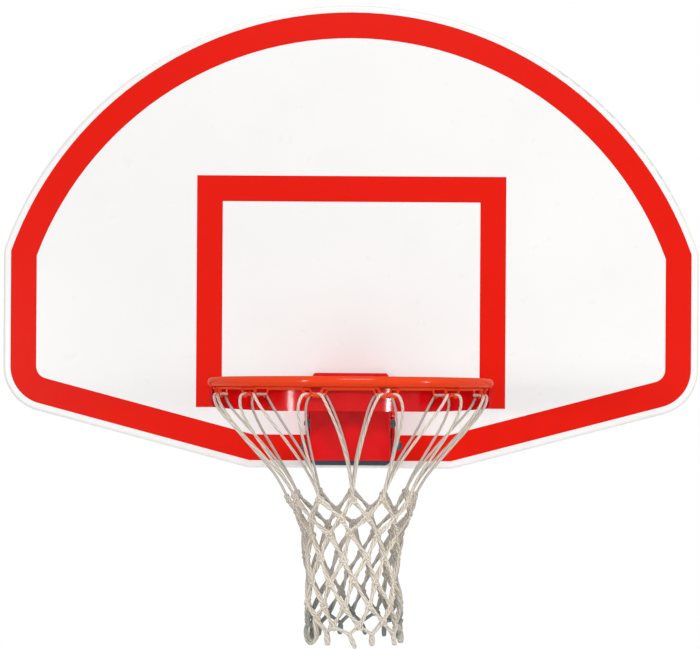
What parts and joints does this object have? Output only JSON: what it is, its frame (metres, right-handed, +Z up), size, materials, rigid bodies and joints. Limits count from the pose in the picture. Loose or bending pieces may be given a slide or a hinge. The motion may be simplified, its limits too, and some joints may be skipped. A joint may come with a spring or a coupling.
{
  "type": "basketball backboard",
  "caption": "Fan-shaped steel basketball backboard with a red border and target, a hinged spring-loaded ring on a bracket, and a hanging cord net.",
  "frame": {"origin": "centre of the rear mounting holes, on the rear plane of the upright stiffeners", "axes": "+X to the right as a player sees the board, +Y from the court to the post, +Z up"},
  "size_m": [1.372, 0.6639, 1.1862],
  "materials": {
    "board_paint": "gloss",
    "stripe_paint": "gloss",
    "zinc_plate": "dull zinc",
    "zinc_hardware": "zinc",
    "bearing_steel": "satin",
    "spring_steel": "oiled",
    "bracket_paint": "semi-gloss",
    "ring_paint": "gloss",
    "net_cord": "matte twisted cord"
  },
  "bodies": {
    "board": {"face_panel": "board_paint", "border_stripe": "stripe_paint", "target_stripe": "stripe_paint", "left_stiffener": "board_paint", "right_stiffener": "board_paint", "upper_crossbar": "board_paint", "goal_channel": "board_paint", "weld_nuts": "zinc_hardware", "back_plate": "zinc_plate", "hinge_bracket": "bracket_paint", "goal_bolts": "zinc_hardware", "goal_washers": "zinc_hardware", "goal_nuts": "zinc_hardware", "hinge_bolt": "zinc_hardware", "hinge_washers": "zinc_hardware", "hinge_nut": "zinc_hardware", "hinge_sleeve": "bearing_steel", "thrust_washers": "bearing_steel", "spring_stud": "zinc_hardware", "spring": "spring_steel", "spring_washer": "zinc_hardware", "spring_nut": "zinc_hardware"},
    "rim": {"carrier_plate": "bracket_paint", "spring_seat": "bearing_steel", "arm_plate": "bracket_paint", "left_cheek": "bracket_paint", "right_cheek": "bracket_paint", "front_cover": "bracket_paint", "cover_bolts": "zinc_hardware", "cover_nuts": "zinc_hardware", "ring": "ring_paint", "ring_strap": "bracket_paint", "net_wire": "ring_paint", "net": "net_cord"}
  },
  "joints": [
    {"name": "rim_breakaway", "type": "hinge", "parent": "board", "child": "rim", "pos_m": [0, -0.0773, -0.386], "axis": [1, 0, 0], "range_deg": [0, 25], "stiffness_Nm_per_rad": 400, "springref_deg": -45.84, "deforming": ["spring"]}
  ]
}
